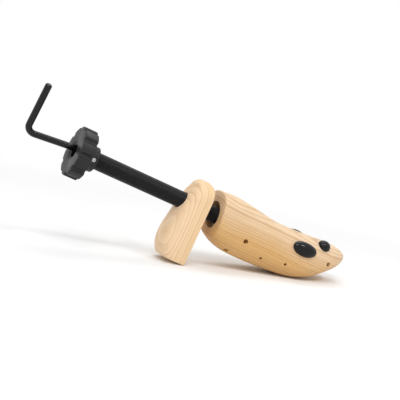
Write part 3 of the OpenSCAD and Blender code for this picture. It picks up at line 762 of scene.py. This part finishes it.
# Heel block
heel_back_line = through([(-HEEL_DEPTH, HEEL_FOOT_T), (-HEEL_DEPTH + 5, HEEL_FOOT_T + 3.4),
                          (-HEEL_DEPTH + 13, HEEL_BULGE_T - 1), (-HEEL_DEPTH + 26, HEEL_BULGE_T),
                          (-HEEL_DEPTH * 0.3, (HEEL_T + HEEL_BULGE_T) / 2 + 0.4), (0, HEEL_T),
                          (HEEL_TOP - HEEL_CROWN_R, HEEL_TOP_T)])
SHOULDER_Z = HEEL_TOP - HEEL_W / 2
HEEL_BACK_STEPS = 56
HEEL_BODY_RINGS = 60
HEEL_TOP_RINGS = 30


def crown(z):
    above = max(0, z - HEEL_TOP + HEEL_CROWN_R)
    return HEEL_CROWN_R - math.sqrt(max(0, HEEL_CROWN_R**2 - above**2))


def heel_half_width(z):
    if z < SHOULDER_Z:
        return HEEL_W / 2
    return math.sqrt(max(0.01, (HEEL_W / 2) ** 2 - (z - SHOULDER_Z) ** 2))


def heel_ring(z, inset=0.0):
    """A level section of the heel block: flat in front, round behind."""
    half = heel_half_width(z) - inset
    front = crown(z) + inset
    deep = float(heel_back_line(min(z, HEEL_TOP - HEEL_CROWN_R))) - crown(z) - inset
    e = min(HEEL_EDGE, half / 3)
    flank = front + e + (deep - front - e) * HEEL_FLANK
    ring = [(front + e - e * cosine(c), half - e + e * sine(c)) for c in range(0, 91, 15)]
    ring += [(front + e + (flank - front - e) * i / 4, half) for i in range(1, 4)]
    side = len(ring)
    for i in range(HEEL_BACK_STEPS + 1):
        b = math.radians(180 * i / HEEL_BACK_STEPS)
        ring.append((flank + (deep - flank) * float(bow(math.sin(b), HEEL_POWER)),
                     half * float(bow(math.cos(b), HEEL_POWER))))
    ring += [(x, -y) for x, y in reversed(ring[:side])]
    return [(HEEL_FRONT_X - x, y, z) for x, y in ring]


def heel_block():
    foot, e = -HEEL_DEPTH, HEEL_FOOT_EDGE
    rings = [heel_ring(foot + e * (1 - sine(a)), e * (1 - cosine(a))) for a in (90, 60, 40, 20, 0)]
    rings += [heel_ring(foot + e + (SHOULDER_Z - foot - e) * i / HEEL_BODY_RINGS)
              for i in range(1, HEEL_BODY_RINGS + 1)]
    rings += [heel_ring(SHOULDER_Z + (HEEL_TOP - 0.25 - SHOULDER_Z) * sine(90 * i / HEEL_TOP_RINGS))
              for i in range(1, HEEL_TOP_RINGS + 1)]
    made = new_object("heel_block_shaped", *loft(rings))
    cuts = [(HEEL_BORE_L, HEEL_BORE_R)]
    cuts += [(depth + RUNNING, r + RUNNING) for depth, r in HEEL_NUT]
    carve(made, [line_rod(HEEL_FRONT_X - depth, HEEL_FRONT_X + 5, r) for depth, r in cuts])
    dress(made, "heel", block_wood, "heel_block", 38)


# Tube, knob and crank
def threaded_tube():
    """A tube with a real thread on it: the radius falls and rises once in a pitch."""
    steps_per_turn = 8
    count = int((TUBE_FRONT_X - TUBE_BACK_X) / TUBE_PITCH * steps_per_turn)
    xs = np.linspace(TUBE_BACK_X, TUBE_FRONT_X, count)
    t = turns(56)
    phase = (xs[:, None] / TUBE_PITCH - t[None, :] / (2 * math.pi)) % 1
    flank = np.clip((np.abs(phase - 0.5) * 2 - 0.28) / 0.5, 0, 1)
    from_end = np.minimum(xs - TUBE_BACK_X, TUBE_FRONT_X - xs)
    ends = np.clip(from_end / THREAD_END, 0, 1)[:, None]
    groove = THREAD_DEPTH * flank * flank * (3 - 2 * flank)
    radii = TUBE_R - groove - (1 - ends) * TUBE_CHAMFER
    rings = [round_ring(x, r, t) for x, r in zip(xs, radii)]
    rings += [round_ring(x, TUBE_BORE_R, t) for x in (TUBE_FRONT_X, TUBE_BACK_X)]
    made = new_object("threaded_tube_cut", *loop(rings))
    dress(made, "screw_tube", tube_finish, "threaded_tube", 60)


def knob_outline(t):
    """Radius of the knob's rim at the angles t, with its grooves and their rounded lips."""
    step = 2 * math.pi / KNOB_GROOVES
    off = (t + step / 2) % step - step / 2
    reach = KNOB_R + GROOVE_OUT
    aside = np.abs(reach * np.sin(off))
    groove = reach * np.cos(off) - np.sqrt(np.clip(GROOVE_R**2 - aside**2, 0, None))
    lip = np.clip((GROOVE_R + LIP_W - aside) / LIP_W, 0, 1)
    outside = KNOB_R - LIP_DROP * lip**2
    return np.where(aside < GROOVE_R, np.minimum(groove, outside), outside)


def knob_rings(rim):
    """(x, radius) pairs from the bore's back end, over the rim and the hub, back to the bore."""
    smooth = np.minimum(rim - KNOB_ROUNDING, KNOB_R - KNOB_SMOOTH)
    rounding = [(KNOB_ROUNDING * (1 - cosine(a)), KNOB_ROUNDING * (1 - sine(a)))
                for a in range(0, 91, 15)]
    # The recess round the bore, in the knob's back
    recess = ((2, 0), (1.3, 0), (1.0, 0.3), (1.0, 2.2), (0.75, 2.7), (0.2, 3.0), (0, 3.4))
    rings = [(KNOB_BACK_X + deep, TUBE_BORE_R + wide) for deep, wide in recess]
    rings.append((KNOB_BACK_X, smooth))
    rings += [(KNOB_BACK_X + dx, rim - inset) for dx, inset in rounding]
    rings += [(KNOB_X - dx, rim - inset) for dx, inset in reversed(rounding)]
    rings += [(KNOB_X, smooth), (KNOB_X, HUB_R + HUB_FILLET + 0.2)]
    rings += [(KNOB_X + HUB_FILLET * (1 - cosine(a)), HUB_R + HUB_FILLET * (1 - sine(a)))
              for a in (20, 45, 70, 90)]
    rings += [(HUB_X - HUB_EDGE * (1 - sine(a)), HUB_R - HUB_EDGE * (1 - cosine(a)))
              for a in (0, 30, 60, 90)]
    rings += [(HUB_X, TUBE_R + 0.3), (HUB_X - 0.3, TUBE_R + 0.02), (TUBE_BACK_X, TUBE_R + 0.02)]
    return rings


def star_knob():
    t = turns(480)
    made = new_object("star_knob_moulded",
                      *loop([round_ring(x, r, t) for x, r in knob_rings(knob_outline(t))]))
    carve(made, [cross_rod(HUB_X - HUB_L / 2, 0, -20, 20, GRUB_R)])
    dress(made, "screw_tube", knob_finish, "star_knob", 30)


def rod_path():
    """Middle line of the crank rod, its last point before the arm and the arm's direction.

    It is straight in front, eased over to the lift, then down the slope to the elbow.
    """
    start, lift_x = (KNOB_BACK_X + x for x in ROD_EASE)
    slope = math.radians(ROD_SLOPE)
    peak = ROD_LIFT + ROD_EASE[1] * math.tan(slope) - ROD_SAG
    path = [np.array((x, 0, 0)) for x in np.linspace(WEDGE_X - 0.1, start, 30)]
    for s in (i / 24 for i in range(1, 25)):
        path.append(np.array((start + (lift_x - start) * s, 0, peak * (3 * s**2 - 2 * s**3))))
    kink = np.array((KNOB_BACK_X, 0, ROD_LIFT))
    back = np.array((-math.cos(slope), 0, -math.sin(slope)))
    turn = math.radians(ARM_TURN)
    arm = np.array((-math.sin(slope) * math.cos(turn), -math.sin(turn),
                    math.cos(slope) * math.cos(turn)))
    elbow = ROD_SHOW - ELBOW_R
    path += [kink + back * d for d in (0, 3, 6, 12, 24, elbow)]
    corner = kink + back * elbow + arm * ELBOW_R
    path += [corner + ELBOW_R * (back * sine(c) - arm * cosine(c)) for c in range(5, 91, 5)]
    foot = path[-1]
    path += [foot + arm * d for d in (10, 20, 30, 40, ARM_L - ELBOW_R - ARM_ROUND)]
    return np.array(path), arm


def crank_rod():
    path, arm = rod_path()
    onward = np.gradient(path, axis=0)
    onward /= np.linalg.norm(onward, axis=1)[:, None]
    t = turns(40)
    neck_x = WEDGE_X + WEDGE_L + NECK_L
    neck = [(neck_x, NECK_R - NECK_CHAMFER), (neck_x - NECK_CHAMFER, NECK_R), (WEDGE_X, NECK_R)]
    rings = [round_ring(x, r, -t) for x, r in neck]
    side = np.array((0.0, 1.0, 0.0))
    for point, forward in zip(path, onward):
        side = unit(side - forward * (side @ forward))
        around = np.cos(t)[:, None] * side + np.sin(t)[:, None] * np.cross(forward, side)
        rings.append(point + ROD_R * around)
    for a in (20, 40, 60, 78, 88):
        r = ROD_R - ARM_ROUND + ARM_ROUND * cosine(a)
        rings.append(path[-1] + arm * ARM_ROUND * sine(a) + r * around)
    made = new_object("crank_rod_bent", *loft(rings))
    dress(made, "crank", crank_finish, "crank_rod", 50)


last_half("last_half_right", "right_side", HOLES_RIGHT, (PLUG_LONG, PLUG_ROUND), True)
last_half("last_half_left", "left_side", HOLES_LEFT, (PLUG_UPPER, PLUG_LOWER), False)
plug("plug_long_right", PLUG_LONG, "long_plug", True)
plug("plug_round_right", PLUG_ROUND, "round_plug", True)
plug("plug_upper_left", PLUG_UPPER, "upper_plug", False)
plug("plug_lower_left", PLUG_LOWER, "lower_plug", False)
heel_block()
threaded_tube()
star_knob()
crank_rod()

# Stage: white paper that fades into a white room, under soft light
PAPER_HALF = 6
FADE_FROM = 0.32
FADE_TO = 0.75
ROOM_LIGHT = 0.58
LIGHTS_AIM = (0.02, 0.0, 0.05)


def paper():
    s = Shader("white_paper", Roughness=0.9, Specular_IOR_Level=0.1)
    place = s.millimetres()
    s.to(Base_Color=s.ramp(s.noise(place, 0.02, 2), [(0.3, 0.92), (0.7, 0.94)]))
    away = s.node("ShaderNodeVectorMath", operation="LENGTH")
    s.link(place, away.inputs[0])
    far = s.node("ShaderNodeMapRange", interpolation_type="SMOOTHSTEP")
    s.link(away.outputs["Value"], far.inputs["Value"])
    far.inputs["From Min"].default_value = FADE_FROM / MM
    far.inputs["From Max"].default_value = FADE_TO / MM
    fade = s.node("ShaderNodeMixShader")
    s.link(s.math("MULTIPLY", far.outputs[0], s.seen()), fade.inputs[0])
    s.link(s.shader.outputs[0], fade.inputs[1])
    s.link(s.node("ShaderNodeEmission").outputs[0], fade.inputs[2])
    s.link(fade.outputs[0], s.out.inputs[0])
    return s.material


def lay_floor():
    mesh = bpy.data.meshes.new("floor")
    z, r = min(cad_low.z, 0), PAPER_HALF
    mesh.from_pydata([(-r, -r, z), (r, -r, z), (r, r, z), (-r, r, z)], [], [(0, 1, 2, 3)])
    mesh.materials.append(paper())
    floor = bpy.data.objects.new("floor", mesh)
    bpy.context.scene.collection.objects.link(floor)


def light_room():
    """A white room that lights the object at ROOM_LIGHT."""
    world = bpy.data.worlds.new("studio")
    world.use_nodes = True
    bpy.context.scene.world = world
    room = Nodes(world.node_tree)
    back = room.node("ShaderNodeBackground")
    back.inputs["Color"].default_value = (1, 1, 1, 1)
    strength = room.node("ShaderNodeMapRange")
    room.link(room.seen(), strength.inputs["Value"])
    strength.inputs["To Min"].default_value = ROOM_LIGHT
    strength.inputs["To Max"].default_value = 1.0
    room.link(strength.outputs[0], back.inputs["Strength"])
    room.link(back.outputs[0], room.node("ShaderNodeOutputWorld").inputs[0])


def softbox(name, at, size, watts):
    light = bpy.data.lights.new(name, "AREA")
    light.shape = "RECTANGLE"
    light.size, light.size_y = size
    light.energy = watts
    made = bpy.data.objects.new(name, light)
    made.location = at
    towards = Vector(LIGHTS_AIM) - Vector(at)
    made.rotation_euler = towards.to_track_quat("-Z", "Y").to_euler()
    bpy.context.scene.collection.objects.link(made)


lay_floor()
light_room()
softbox("key", (-0.5, -0.8, 1.2), (0.9, 0.9), 8.8)
softbox("top", (0.25, 0.45, 1.4), (1.1, 0.7), 5.5)
# A small bright window, for the highlights on the black pieces
softbox("window", (0.5, -0.75, 1.0), (0.24, 0.14), 2.6)

# Camera: where the photograph was taken from, given on the screw line in millimetres
CAMERA_AT = (-406, -811, 13)
CAMERA_AIM = (-20.9, 0, 8)
CAMERA_ROLL = 24.9
FOCAL_MM = 75.3


def place_camera():
    data = bpy.data.cameras.new("camera")
    data.sensor_width = 36
    data.lens = FOCAL_MM
    data.clip_start = 0.05
    data.clip_end = 20
    made = bpy.data.objects.new("camera", data)
    at, aim = Vector(CAMERA_AT), Vector(CAMERA_AIM)
    level = (aim - at).to_track_quat("-Z", "Y").to_matrix()
    turn = level @ Matrix.Rotation(math.radians(CAMERA_ROLL), 3, "Z")
    made.matrix_world = LINE @ Matrix.LocRotScale(at * MM, turn.to_quaternion(), None)
    bpy.context.scene.collection.objects.link(made)
    bpy.context.scene.camera = made


place_camera()
bpy.context.scene.view_settings.view_transform = "Standard"
